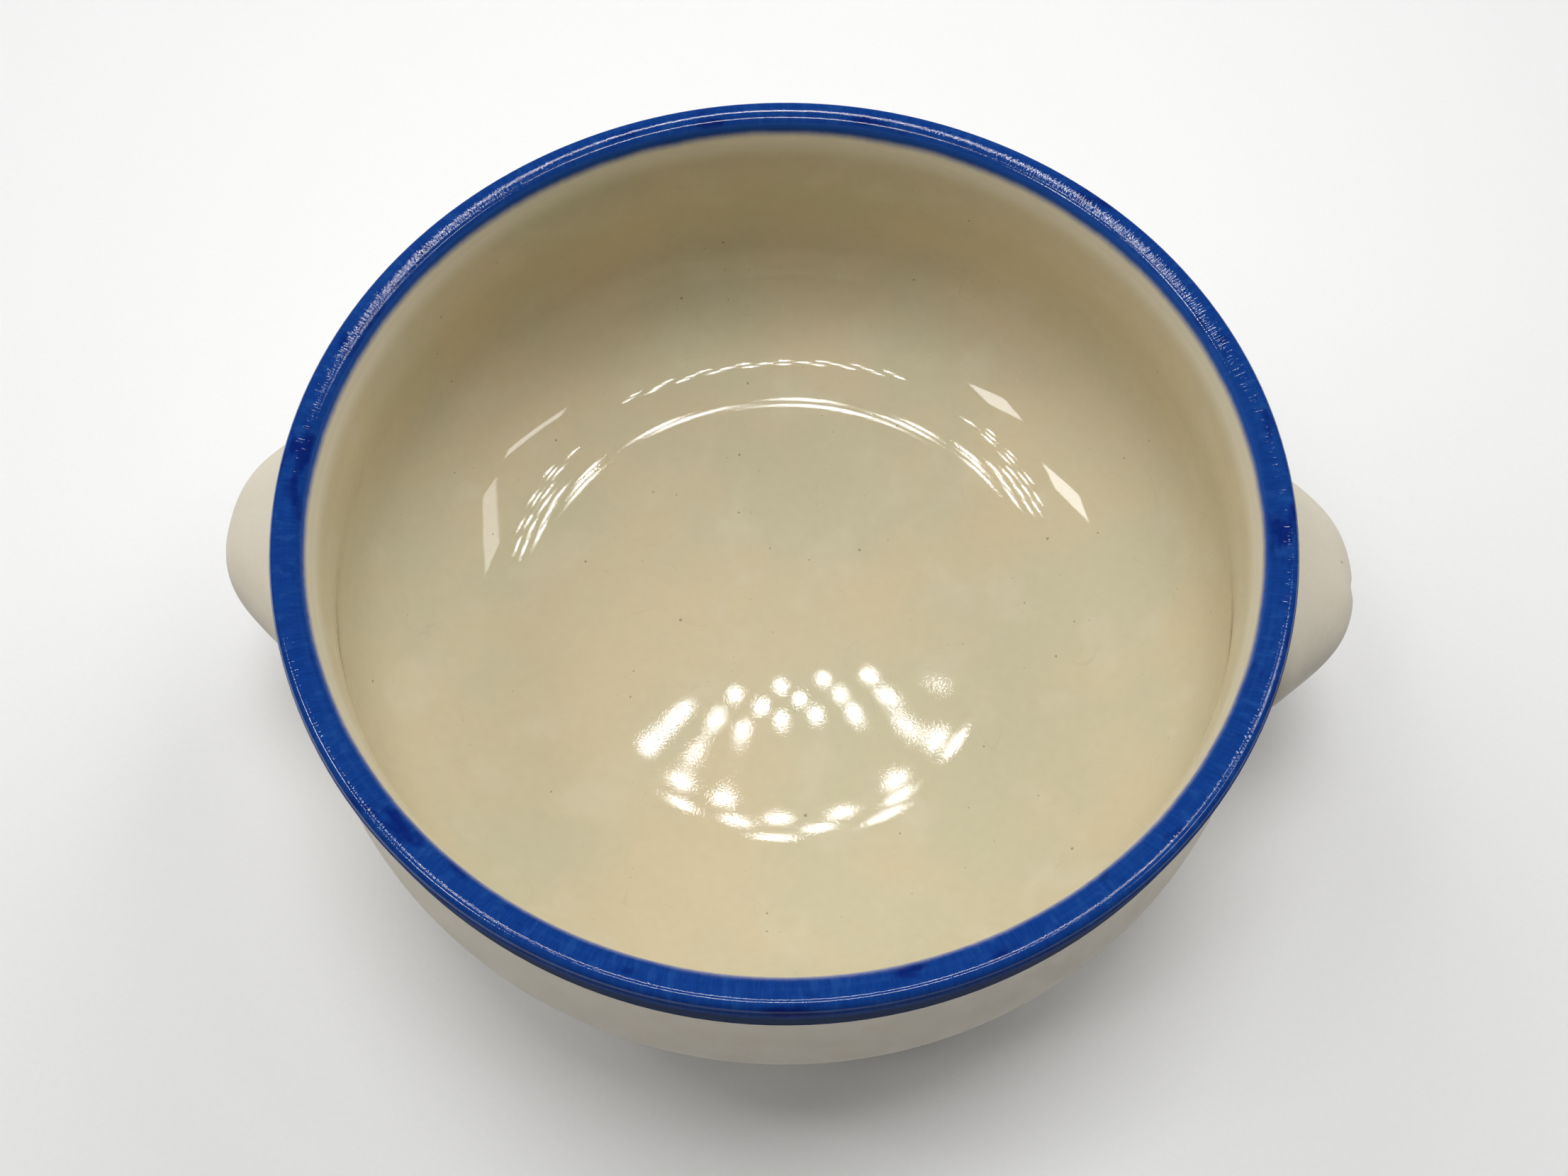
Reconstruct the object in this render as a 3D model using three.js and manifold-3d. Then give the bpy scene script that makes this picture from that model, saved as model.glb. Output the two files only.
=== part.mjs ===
// A two-lug stoneware soup bowl: a swelling thrown wall with a rounded lip, a foot ring, a glossy
// liner glaze, a cobalt band laid over the lip, and two solid ear lugs joined to the wall with slip.
// Millimetres, +Z up, standing on z = 0 with the bowl's axis on Z and the lugs on X.
import * as THREE from 'three';
import { mergeVertices } from 'three/addons/utils/BufferGeometryUtils.js';
import Module from 'manifold-3d';

const wasm = await Module();
wasm.setup();

// Bowl
const height = 62;            // table to the top of the glazed lip
const rimRadius = 70;         // outside of the glazed lip
const lipOuter = 1.4;         // crest of the lip, in from the rim
const lipShoulder = 2.2;      // crest of the lip down to the upright outside face
const lipInner = 2.6;         // crest of the lip, out from the upright inside face
const lipDrop = 3.2;          // crest of the lip down to the inner edge of the cobalt band
const lipSquareness = 2.7;    // section of the lip: 2 is an ellipse, more is squarer
const collarDrop = 8.5;       // crest of the lip down to the outer edge of the cobalt band
const collarFlare = 0.4;      // that edge, out from the upright outside face of the lip
const throatInset = 5.2;      // narrowest line of the inside, in from the rim
const throatDrop = 8;         // narrowest line of the inside, below the crest of the lip
const bellySwell = 3.8;       // widest line of the wall, out from the rim
const bellyHeight = 31.2;     // widest line above the table
const wallThickness = 4.6;    // clay and liner glaze together, at the belly
const glazeThickness = 0.5;   // liner and band
const floorThickness = 4;     // clay under the liner
const floorFlatness = 5.4;    // inside curve: the more, the further out the floor stays flat
const wallUprightness = 1.55; // inside curve: 1 is a slanting wall, more stands it up
const floorDish = 0.25;       // rise of the floor from its middle to the wall, besides that curve

// Foot ring
const footHeight = 5.5;       // table to the flat underside of the bowl
const footRadius = 38;        // outside of the resting face
const footWidth = 5;          // across the ring at the table
const footFlare = 1.5;        // how much each side widens towards the bowl
const footEdge = 0.9;         // rounded edges of the resting face
const baseLedge = 2.5;        // flat of the bowl's underside outside the foot ring

// Ear lugs
const lugReach = 12.9;        // out from the belly to the tip
const lugSink = 8;            // centre of the lug's round, inside the belly line
const lugWidth = 37;          // along the wall, before the root spreads
const lugDepth = 19;          // up the wall, before the root spreads
const lugLift = 5;            // lug's middle above the belly line
const lugSquareness = 2.5;    // section of the lug: 2 is an ellipse, more is squarer
const lugBluntness = 3;       // side view of the tip: 2 is an ellipse, more is blunter
const lugFullness = 2.4;      // the same, seen from above
const rootSpread = 3;         // smoothed-in widening at the wall, to each side
const rootRise = 2;           // the same, up and down the wall
const rootReach = 10;         // how far out from the belly that widening runs

// Slip joint behind each lug
const slipThickness = 0.8;
const slipProud = 0.5;        // squeezed out past the lug's root
const jointGap = 0.3;         // clearance on each side of the slip

// Facets
const turnSteps = 60;
const arcSteps = 7;
const swellSteps = 5;
const lipSteps = 5;
const insideSteps = 8;
const lugTurnSteps = 36;
const lugReachSteps = 18;

// Derived sizes
const crestRadius = rimRadius - lipOuter;
const bellyRadius = rimRadius + bellySwell;
const clayRim = rimRadius - glazeThickness;
const collarRadius = clayRim + collarFlare;
const collarHeight = height - collarDrop;
const clayThroat = rimRadius - throatInset + glazeThickness;
const clayWall = wallThickness - glazeThickness;
const floorTop = footHeight + floorThickness;
const footTopOuter = footRadius + footFlare;
const footTopInner = footRadius - footWidth - footFlare;
const baseRadius = footTopOuter + baseLedge;

const point = (radius, z) => new THREE.Vector2(radius, z);
const radians = THREE.MathUtils.degToRad;

// Turns a profile of radius and height about Z. A profile runs with its material on the left.
function turned(profile) {
  return new THREE.LatheGeometry(profile, turnSteps).rotateX(Math.PI / 2);
}

// Round stretch of a profile, with angles in degrees from the outward direction.
function arc(centre, radiusAcross, radiusUp, startAngle, endAngle, steps) {
  const clockwise = endAngle < startAngle;
  const curve = new THREE.EllipseCurve(
    centre.x, centre.y, radiusAcross, radiusUp, radians(startAngle), radians(endAngle), clockwise);
  return curve.getPoints(steps);
}

// Gentle S between two lines of the wall, upright at both ends.
function swell(start, end) {
  const middle = (start.y + end.y) / 2;
  const curve = new THREE.CubicBezierCurve(start, point(start.x, middle), point(end.x, middle), end);
  return curve.getPoints(swellSteps);
}

// The same path moved out of the material by a distance, for a coat of glaze.
function coatOver(path, distance) {
  return path.map((here, i) => {
    if (here.x === 0) return point(0, here.y + distance);
    const before = path[Math.max(i - 1, 0)];
    const after = path[Math.min(i + 1, path.length - 1)];
    const along = after.clone().sub(before).normalize();
    return point(here.x + along.y * distance, here.y - along.x * distance);
  });
}

// Outside of the clay wall, from the flat underside up to the collar under the lip.
function outsideWall() {
  const lower = arc(
    point(baseRadius, bellyHeight), bellyRadius - baseRadius, bellyHeight - footHeight, -90, 0, arcSteps);
  const upper = swell(point(bellyRadius, bellyHeight), point(collarRadius, collarHeight));
  return [...lower, ...upper.slice(1)];
}

// A quarter of the lip's section, squarer than an ellipse, between two angles from the outward direction.
function lipQuarter(across, drop, startAngle, endAngle) {
  const power = 2 / lipSquareness;
  const clayDrop = drop - glazeThickness;
  const round = arc(point(0, 0), 1, 1, startAngle, endAngle, lipSteps);
  return round.map(({ x, y }) => point(
    crestRadius + Math.sign(x) * Math.abs(x) ** power * (across - glazeThickness),
    height - drop + Math.abs(y) ** power * clayDrop));
}

// Clay of the collar and the lip, which the cobalt band covers.
function clayLip() {
  const outer = lipQuarter(lipOuter, lipShoulder, 0, 90);
  const inner = lipQuarter(lipInner, lipDrop, 90, 180);
  return [point(collarRadius, collarHeight), ...outer, ...inner.slice(1)];
}

// Lower part of the inside, from the belly to the middle: a floor that stays flat and then turns up.
function insideCurve(radius, rise) {
  const points = [];
  for (let i = 0; i < insideSteps; i += 1) {
    const up = (1 - i / insideSteps) ** 2;
    const out = (1 - (1 - up) ** wallUprightness) ** (1 / floorFlatness);
    points.push(point(radius * out, floorTop + (rise - floorDish) * up + floorDish * out * out));
  }
  return [...points, point(0, floorTop)];
}

// Inside of the clay wall, from the throat down to the middle of the floor.
function insideWall() {
  const belly = bellyRadius - clayWall;
  const upper = swell(point(clayThroat, height - throatDrop), point(belly, bellyHeight));
  return [...upper, ...insideCurve(belly, bellyHeight - floorTop).slice(1)];
}

const lip = clayLip();
const coated = [...lip, ...insideWall()];
const coatedFace = coatOver(coated, glazeThickness);

function bowlBody() {
  return turned([point(0, footHeight), ...outsideWall(), ...coated]);
}

// A coat between two places on the coated path. One that reaches the axis needs no closing edge.
function coat(from, to) {
  const outline = [...coated.slice(from, to).reverse(), ...coatedFace.slice(from, to)];
  const reachesAxis = outline[0].x === 0;
  return turned(reachesAxis ? outline : [...outline, outline[0]]);
}

const rimBand = () => coat(0, lip.length);
const linerGlaze = () => coat(lip.length - 1, coated.length);

// Turned foot ring with a flat resting face, rounded edges and sides that spread to the bowl.
function footRing() {
  const inner = footRadius - footWidth;
  const outerEdge = arc(point(footRadius - footEdge, footEdge), footEdge, footEdge, -90, 0, 3);
  const innerEdge = arc(point(inner + footEdge, footEdge), footEdge, footEdge, 180, 270, 3);
  const top = [point(footTopOuter, footHeight), point(footTopInner, footHeight)];
  return turned([...innerEdge, ...outerEdge, ...top, innerEdge[0]]);
}

// Radius of the lug's squared-off round section in a direction of unit length.
function superellipse(across, up) {
  return (Math.abs(across) ** lugSquareness + Math.abs(up) ** lugSquareness) ** (-1 / lugSquareness);
}

// Ear lug on +X before it is fitted to the wall: a ball drawn out into a squared-off ear whose root
// spreads where it meets the belly.
function earLug(proud) {
  const geometry = new THREE.SphereGeometry(1, lugTurnSteps, lugReachSteps).rotateZ(-Math.PI / 2);
  const position = geometry.attributes.position;
  const centre = bellyRadius - lugSink;
  for (let i = 0; i < position.count; i += 1) {
    const out = position.getX(i);
    const girth = Math.max(0, 1 - Math.abs(out) ** lugFullness) ** (1 / lugFullness);
    const bluntGirth = Math.max(0, 1 - Math.abs(out) ** lugBluntness) ** (1 / lugBluntness);
    const turn = Math.atan2(position.getZ(i), position.getY(i));
    const across = Math.cos(turn);
    const up = Math.sin(turn);
    const square = superellipse(across, up);
    const radius = centre + out * (lugSink + lugReach);
    const nearWall = THREE.MathUtils.clamp(1 - (radius - bellyRadius) / rootReach, 0, 1) ** 2;
    const y = girth * square * across * (lugWidth / 2 + rootSpread * nearWall + proud);
    const z = bluntGirth * square * up * (lugDepth / 2 + rootRise * nearWall + proud);
    position.setXYZ(i, radius, y, bellyHeight + lugLift + z);
  }
  return geometry;
}

// The bowl's filled outside, grown outward, for fitting pieces to the wall.
function wallForm(grow) {
  const wall = outsideWall().map((p) => point(p.x + grow, p.y));
  return solid(turned([point(0, footHeight), ...wall, point(0, collarHeight)]));
}

function solid(geometry) {
  geometry.deleteAttribute('normal');
  geometry.deleteAttribute('uv');
  const merged = mergeVertices(geometry, 1e-4);
  const corners = merged.index.array;
  const kept = [];
  for (let i = 0; i < corners.length; i += 3) {
    const [a, b, c] = corners.slice(i, i + 3);
    if (a !== b && b !== c && c !== a) kept.push(a, b, c);
  }
  const mesh = new wasm.Mesh({
    numProp: 3,
    vertProperties: new Float32Array(merged.attributes.position.array),
    triVerts: new Uint32Array(kept),
  });
  return new wasm.Manifold(mesh);
}

function geometryOf(manifold) {
  const mesh = manifold.getMesh();
  const geometry = new THREE.BufferGeometry();
  geometry.setAttribute('position', new THREE.BufferAttribute(new Float32Array(mesh.vertProperties), 3));
  geometry.setIndex(new THREE.BufferAttribute(new Uint32Array(mesh.triVerts), 1));
  geometry.computeVertexNormals();
  return geometry;
}

// Lug with its root hollowed to sit on the slip.
function fittedLug() {
  const seat = wallForm(slipThickness + 2 * jointGap);
  return geometryOf(solid(earLug(0)).subtract(seat));
}

// Slip between the lug and the wall, squeezed out a little past the root.
function slipJoint() {
  const layer = wallForm(slipThickness + jointGap).subtract(wallForm(jointGap));
  return geometryOf(solid(earLug(slipProud)).intersect(layer));
}

function satinClay() {
  return new THREE.MeshStandardMaterial({ color: 0xd8cdc1, roughness: 0.45, metalness: 0 });
}

function bareClay() {
  return new THREE.MeshStandardMaterial({ color: 0xc9b79c, roughness: 0.85, metalness: 0 });
}

function creamGlaze() {
  return new THREE.MeshStandardMaterial({ color: 0xd9ccab, roughness: 0.12, metalness: 0 });
}

function cobaltGlaze() {
  return new THREE.MeshStandardMaterial({ color: 0x234a96, roughness: 0.15, metalness: 0 });
}

const bowl = new THREE.Group();

function piece(name, geometry, material, turn = 0) {
  const mesh = new THREE.Mesh(geometry, material);
  mesh.name = name;
  mesh.rotation.z = turn;
  bowl.add(mesh);
}

piece('bowl_body', bowlBody(), satinClay());
piece('foot_ring', footRing(), bareClay());
piece('liner_glaze', linerGlaze(), creamGlaze());
piece('rim_band', rimBand(), cobaltGlaze());

const sides = [['right', 0], ['left', Math.PI]];
for (const [side, turn] of sides) {
  piece(`${side}_lug`, fittedLug(), satinClay(), turn);
  piece(`${side}_lug_slip`, slipJoint(), bareClay(), turn);
}

export default bowl;
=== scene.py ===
import math

import bpy
import numpy as np
from mathutils import Matrix, Vector


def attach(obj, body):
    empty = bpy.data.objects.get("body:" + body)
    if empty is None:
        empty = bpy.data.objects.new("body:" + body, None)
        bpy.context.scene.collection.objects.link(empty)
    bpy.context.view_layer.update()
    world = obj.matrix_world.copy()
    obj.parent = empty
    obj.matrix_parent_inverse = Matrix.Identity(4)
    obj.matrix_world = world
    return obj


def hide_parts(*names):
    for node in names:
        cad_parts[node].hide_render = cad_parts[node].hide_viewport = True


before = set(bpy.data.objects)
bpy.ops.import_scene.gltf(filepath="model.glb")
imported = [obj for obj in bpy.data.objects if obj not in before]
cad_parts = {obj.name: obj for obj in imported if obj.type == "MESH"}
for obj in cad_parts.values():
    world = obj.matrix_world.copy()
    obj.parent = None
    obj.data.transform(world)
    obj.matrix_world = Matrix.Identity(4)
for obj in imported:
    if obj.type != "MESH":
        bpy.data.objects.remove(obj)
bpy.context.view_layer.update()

# A thrown soup cup with two solid ear lugs. The inside is glazed cream, the lip is banded in
# cobalt, and the outside is satin. Sizes are in millimetres and are those of the solids, but the
# section of the lip is finer here and the throat under it is softer.
MM = 0.001
HEIGHT = 62.0
RIM = 70.0
GLAZE = 0.5
CLAY_WALL = 4.6 - GLAZE

# Lip: rounds of the crest, of the bevel inside it and of the inner edge, and the tilts in radians
# at which one gives way to the next. LIP_DROP is the depth that the brush marks wrap round.
LIP_OUTER = 1.2
LIP_SHOULDER = 2.2
LIP_SQUARENESS = 2.2
LIP_ROUNDS = (1.6, 8.0, 1.21)
LIP_TILTS = (0.2, 0.5)
LIP_DROP = 3.2
CREST = RIM - LIP_OUTER

# Wall and floor
COLLAR_DROP = 8.5
COLLAR_FLARE = 0.4
THROAT = RIM - 4.7
THROAT_HEIGHT = HEIGHT - 8.0
BELLY = RIM + 3.8
BELLY_HEIGHT = 31.2
FLOOR_FLATNESS = 5.4
WALL_UPRIGHTNESS = 1.55
FLOOR_DISH = 0.25

# Foot ring
FOOT_HEIGHT = 5.5
FOOT_RADIUS = 38.0
FOOT_WIDTH = 5.0
FOOT_FLARE = 1.5
FOOT_EDGE = 0.9
FOOT_SINK = 0.1
FOOT_WAIST = 0.55
FOOT_WAIST_FLARE = 0.3
FLOOR_TOP = FOOT_HEIGHT + 4.0
BASE_RADIUS = FOOT_RADIUS + FOOT_FLARE + 2.5

# Ear lugs
LUG_REACH = 12.9
LUG_SINK = 8.0
LUG_WIDTH = 37.0
LUG_DEPTH = 19.0
LUG_MIDDLE = BELLY_HEIGHT + 5.0
LUG_SQUARENESS = 2.5
LUG_BLUNTNESS = 3.0
LUG_FULLNESS = 2.4
ROOT_SPREAD = 3.0
ROOT_RISE = 2.0
ROOT_REACH = 10.0

# Coats, by distance along the clay from the crest: where the band starts and reaches its full
# thickness on the outside, and where it meets the liner inside. Their backs lie just in the clay.
BAND_OUTSIDE = 9.6
BAND_FULL = 8.4
BAND_INSIDE = 6.0
WALL_OUTSIDE = 9.0
COAT_SINK = 0.02

# Softening of the clay's corners, which starts at a distance from the crest and grows with it
SOFT_START = 1.6
SOFT_GROWTH = 0.34
SOFT_MOST = 3.4

# Unevenness of the throwing: shares of the radius, a lean in millimetres, and their turns
SHRINK = 0.0012
OVAL, OVAL_TURN = 0.0008, 0.7
LOBES, LOBES_TURN = 0.0004, 2.0
LEAN, LEAN_TURN = 0.12, 1.1

# Fineness of the meshes
TURNS = 192
PATH_STEP = 0.3
UNDER_RINGS = 23
FOOT_STEPS = 9
COAT_OVERLAP = 8

# Lengths below this count as nought
TINY = 1e-9


# Profiles: arrays of radius and height

def arc(radius, z, across, up, start, end, steps):
    angle = np.radians(np.linspace(start, end, steps))
    return np.stack([radius + across * np.cos(angle), z + up * np.sin(angle)], 1)


def swell(start, end, steps):
    """An S-shaped stretch that is upright at both ends."""
    t = np.linspace(0, 1, steps)
    ease = 3 * t * t - 2 * t ** 3
    middle = (start[1] + end[1]) / 2
    heights = (1 - t) ** 3 * start[1] + 3 * t * (1 - t) * middle + t ** 3 * end[1]
    return np.stack([start[0] + (end[0] - start[0]) * ease, heights], 1)


def resampled(path, step):
    length = np.r_[0, np.cumsum(np.linalg.norm(np.diff(path, axis=0), axis=1))]
    keep = np.r_[True, np.diff(length) > TINY]
    count = int(round(length[-1] / step))
    at = np.linspace(0, length[-1], count + 1)
    return np.stack([np.interp(at, length[keep], path[keep, k]) for k in (0, 1)], 1)


def softened(path, sigma):
    """Rounds the corners of an even path that ends on the axis, by a width for each point."""
    mirrored = path[-2::-1] * [-1, 1]
    whole = np.concatenate([path, mirrored])
    step = np.linalg.norm(path[1] - path[0])
    place = np.arange(len(whole)) * step
    out = path.copy()
    for i in range(1, len(path)):
        if sigma[i] < 0.1 * step:
            continue
        weight = np.exp(-0.5 * ((place - place[i]) / sigma[i]) ** 2)
        weight[place > 2 * place[i]] = 0
        out[i] = (weight[:, None] * whole).sum(0) / weight.sum()
    out[-1, 0] = 0
    return out


def normals_of(path):
    along = np.gradient(path, axis=0)
    along /= np.linalg.norm(along, axis=1)[:, None]
    return np.stack([along[:, 1], -along[:, 0]], 1)


def smoothstep(low, high, x):
    t = np.clip((x - low) / (high - low), 0, 1)
    return t * t * (3 - 2 * t)


def lip_outside():
    """The clay lip from its upright outer face to its crest, a little squarer than an ellipse."""
    angle = np.radians(np.linspace(0, 90, 60))
    power = 2 / LIP_SQUARENESS
    out, up = np.cos(angle) ** power, np.sin(angle) ** power
    radius = CREST + out * (LIP_OUTER - GLAZE)
    return np.stack([radius, HEIGHT - LIP_SHOULDER + up * (LIP_SHOULDER - GLAZE)], 1)


def lip_inside():
    """The clay lip from its tight crest down a gentle bevel to its upright inner face."""
    crest_round, bevel_round, edge_round = LIP_ROUNDS
    bevel_start, bevel_end = LIP_TILTS
    tilt = np.linspace(0, np.pi / 2, 400)
    steps = [tilt < bevel_start, tilt < bevel_end]
    rounds = np.select(steps, [crest_round, bevel_round], edge_round) - GLAZE
    length = np.gradient(tilt) * rounds
    inward, down = np.cumsum(length * np.cos(tilt)), np.cumsum(length * np.sin(tilt))
    return np.stack([CREST - inward, HEIGHT - GLAZE - down], 1)


def clay_path():
    """The clay's face from the underside up the outside, over the lip and down to the middle."""
    inside = BELLY - CLAY_WALL
    belly_rise = BELLY_HEIGHT - FOOT_HEIGHT
    lower = arc(BASE_RADIUS, BELLY_HEIGHT, BELLY - BASE_RADIUS, belly_rise, -90, 0, 120)
    collar = (RIM - GLAZE + COLLAR_FLARE, HEIGHT - COLLAR_DROP)
    upper = swell((BELLY, BELLY_HEIGHT), collar, 60)
    throat = swell((THROAT + GLAZE, THROAT_HEIGHT), (inside, BELLY_HEIGHT), 60)
    rise = np.linspace(1, 0, 200)[1:] ** 2
    out = (1 - (1 - rise) ** WALL_UPRIGHTNESS) ** (1 / FLOOR_FLATNESS)
    climb = (BELLY_HEIGHT - FLOOR_TOP - FLOOR_DISH) * rise + FLOOR_DISH * out ** 2
    bowl = np.stack([inside * out, FLOOR_TOP + climb], 1)
    return np.concatenate([lower, upper[1:], lip_outside(), lip_inside()[1:], throat, bowl])


CLAY = resampled(clay_path(), PATH_STEP)
FROM_CREST = (np.arange(len(CLAY)) - np.argmax(CLAY[:, 1])) * PATH_STEP
CLAY = softened(CLAY, np.clip((np.abs(FROM_CREST) - SOFT_START) * SOFT_GROWTH, 0, SOFT_MOST))
CLAY_OUT = normals_of(CLAY)
COAT_DEPTH = GLAZE * smoothstep(-BAND_OUTSIDE, -BAND_FULL, FROM_CREST)
COAT = CLAY + CLAY_OUT * COAT_DEPTH[:, None]
BACK = CLAY - CLAY_OUT * COAT_SINK
COAT[-1, 0] = BACK[-1, 0] = 0


def point_at(distance):
    """Index of the point at a distance along the clay from the crest, outside ones negative."""
    return int(np.argmin(np.abs(FROM_CREST - distance)))


BAND_START = point_at(-BAND_OUTSIDE)
BAND_END = point_at(BAND_INSIDE)
WALL = CLAY[:point_at(-WALL_OUTSIDE)]


def wall_radius(z):
    """Outside radius of the clay wall at a height."""
    return np.interp(z, WALL[:, 1], WALL[:, 0])


def thinned(path):
    """Every fourth point of a stretch that a coat hides, and its last."""
    return np.concatenate([path[:-1:4], path[-1:]])


def warped(points):
    """The slight unevenness of a hand-thrown pot, the same for every piece."""
    x, y, z = points[:, 0], points[:, 1], points[:, 2]
    angle = np.arctan2(y, x)
    rise = np.clip(z / HEIGHT, 0, 1) ** 2
    oval = OVAL * np.sin(2 * angle + OVAL_TURN)
    lobes = LOBES * np.sin(3 * angle + LOBES_TURN)
    grow = 1 - rise * (SHRINK + oval + lobes)
    share = np.clip(np.hypot(x, y) / RIM, 0, 1)
    drop = rise * LEAN * (1 + np.sin(angle + LEAN_TURN)) * share
    return np.stack([x * grow, y * grow, z - drop], 1)


# Meshes

def add_mesh(name, points, faces, material, sharp=()):
    mesh = bpy.data.meshes.new(name)
    mesh.from_pydata((warped(np.asarray(points, float)) * MM).tolist(), [], faces)
    mesh.polygons.foreach_set("use_smooth", [True] * len(mesh.polygons))
    if sharp:
        wanted = set(sharp)
        flags = [tuple(sorted(e.vertices)) in wanted for e in mesh.edges]
        layer = mesh.attributes.new("sharp_edge", "BOOLEAN", "EDGE")
        layer.data.foreach_set("value", flags)
    mesh.update()
    mesh.validate()
    mesh.materials.append(material)
    piece = bpy.data.objects.new(name, mesh)
    bpy.context.scene.collection.objects.link(piece)
    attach(piece, "root")
    return piece


def turned(name, profile, material, creases=()):
    """Turns a profile about Z. One that starts and ends on the axis needs no closing stretch."""
    angle = np.linspace(0, 2 * np.pi, TURNS, endpoint=False)
    points, rings = [], []
    for radius, z in profile:
        first = len(points)
        if radius < TINY:
            points.append((0, 0, z))
            rings.append([first] * TURNS)
        else:
            points += [(radius * math.cos(a), radius * math.sin(a), z) for a in angle]
            rings.append(list(range(first, first + TURNS)))
    closed = profile[0][0] > TINY
    faces = []
    for k in range(len(rings) if closed else len(rings) - 1):
        low, high = rings[k], rings[(k + 1) % len(rings)]
        for i in range(TURNS):
            j = (i + 1) % TURNS
            corners = [low[i], low[j], high[j], high[i]]
            faces.append(list(dict.fromkeys(corners)))
    sharp = []
    for k in creases:
        ring = rings[k]
        sharp += [tuple(sorted((ring[i], ring[(i + 1) % TURNS]))) for i in range(TURNS)]
    return add_mesh(name, points, faces, material, sharp=sharp)


# Materials

class Nodes:
    """A material's node tree, with short calls for its nodes. Lengths are in millimetres."""

    def __init__(self, name):
        self.material = bpy.data.materials.new(name)
        self.material.use_nodes = True
        self.tree = self.material.node_tree
        self.tree.nodes.clear()
        output = self.tree.nodes.new("ShaderNodeOutputMaterial")
        self.shader = self.tree.nodes.new("ShaderNodeBsdfPrincipled")
        self.tree.links.new(self.shader.outputs["BSDF"], output.inputs["Surface"])
        coordinates = self.tree.nodes.new("ShaderNodeTexCoord")
        self.place = self.vector("SCALE", coordinates.outputs["Object"], scale=1 / MM)
        split = self.tree.nodes.new("ShaderNodeSeparateXYZ")
        self.tree.links.new(self.place, split.inputs[0])
        self.x, self.y, self.z = split.outputs

    def put(self, socket, value):
        if isinstance(value, bpy.types.NodeSocket):
            self.tree.links.new(value, socket)
        elif isinstance(value, tuple) and len(value) == 3 and socket.type == "RGBA":
            socket.default_value = (*value, 1)
        else:
            socket.default_value = value

    def vector(self, operation, a, b=None, scale=None):
        node = self.tree.nodes.new("ShaderNodeVectorMath")
        node.operation = operation
        self.put(node.inputs[0], a)
        if b is not None:
            self.put(node.inputs[1], b)
        if scale is not None:
            self.put(node.inputs["Scale"], scale)
        return node.outputs["Value" if operation == "LENGTH" else "Vector"]

    def math(self, operation, a, b=0.0, c=0.0):
        node = self.tree.nodes.new("ShaderNodeMath")
        node.operation = operation
        for socket, value in zip(node.inputs, (a, b, c)):
            self.put(socket, value)
        return node.outputs[0]

    def times(self, a, b):
        return self.math("MULTIPLY", a, b)

    def joined(self, x, y, z):
        node = self.tree.nodes.new("ShaderNodeCombineXYZ")
        for socket, value in zip(node.inputs, (x, y, z)):
            self.put(socket, value)
        return node.outputs[0]

    def noise(self, size, vector=None, detail=2.0, roughness=0.5, offset=None):
        node = self.tree.nodes.new("ShaderNodeTexNoise")
        where = self.place if vector is None else vector
        if offset is not None:
            where = self.vector("ADD", where, (offset, offset * 0.7, offset * 1.3))
        self.put(node.inputs["Vector"], where)
        node.inputs["Scale"].default_value = 1 / size
        node.inputs["Detail"].default_value = detail
        node.inputs["Roughness"].default_value = roughness
        return node.outputs["Fac"]

    def wander(self, noise, width):
        """A noise made into a shift to both sides of nought."""
        return self.times(self.math("SUBTRACT", noise, 0.5), width)

    def ease(self, value, low, high, start=0.0, end=1.0):
        node = self.tree.nodes.new("ShaderNodeMapRange")
        node.interpolation_type = "SMOOTHSTEP"
        for socket, given in zip(node.inputs, (value, low, high, start, end)):
            self.put(socket, given)
        return node.outputs[0]

    def mix(self, share, a, b):
        node = self.tree.nodes.new("ShaderNodeMix")
        node.data_type = "RGBA"
        self.put(node.inputs["Factor"], share)
        self.put(node.inputs[6], a)
        self.put(node.inputs[7], b)
        return node.outputs[2]

    def specks(self, size, spread, chance, offset=0.0):
        """Scattered dots of about the given size, at most one in each cell of the given spread."""
        node = self.tree.nodes.new("ShaderNodeTexVoronoi")
        ragged = self.noise(size * 1.5, detail=1.0)
        shift = self.vector("SCALE", self.joined(ragged, ragged, ragged), scale=size * 0.8)
        where = self.vector("ADD", self.place, shift)
        if offset:
            where = self.vector("ADD", where, (offset, offset, offset))
        self.put(node.inputs["Vector"], where)
        node.inputs["Scale"].default_value = 1 / spread
        pick = self.tree.nodes.new("ShaderNodeSeparateXYZ")
        self.tree.links.new(node.outputs["Color"], pick.inputs[0])
        chosen = self.math("LESS_THAN", pick.outputs[0], chance)
        reach = self.math("MULTIPLY_ADD", pick.outputs[1],
                          0.5 * size / spread, 0.3 * size / spread)
        inside = self.math("SUBTRACT", reach, node.outputs["Distance"])
        dot = self.ease(inside, -0.15 * size / spread, 0.15 * size / spread)
        return self.times(dot, chosen)

    def bump(self, height, depth, before=None):
        node = self.tree.nodes.new("ShaderNodeBump")
        node.inputs["Distance"].default_value = depth * MM
        self.put(node.inputs["Height"], height)
        if before is not None:
            self.tree.links.new(before, node.inputs["Normal"])
        return node.outputs["Normal"]

    def finish(self, colour, roughness, normal):
        self.put(self.shader.inputs["Base Color"], colour)
        self.put(self.shader.inputs["Roughness"], roughness)
        self.tree.links.new(normal, self.shader.inputs["Normal"])
        return self.material


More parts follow.
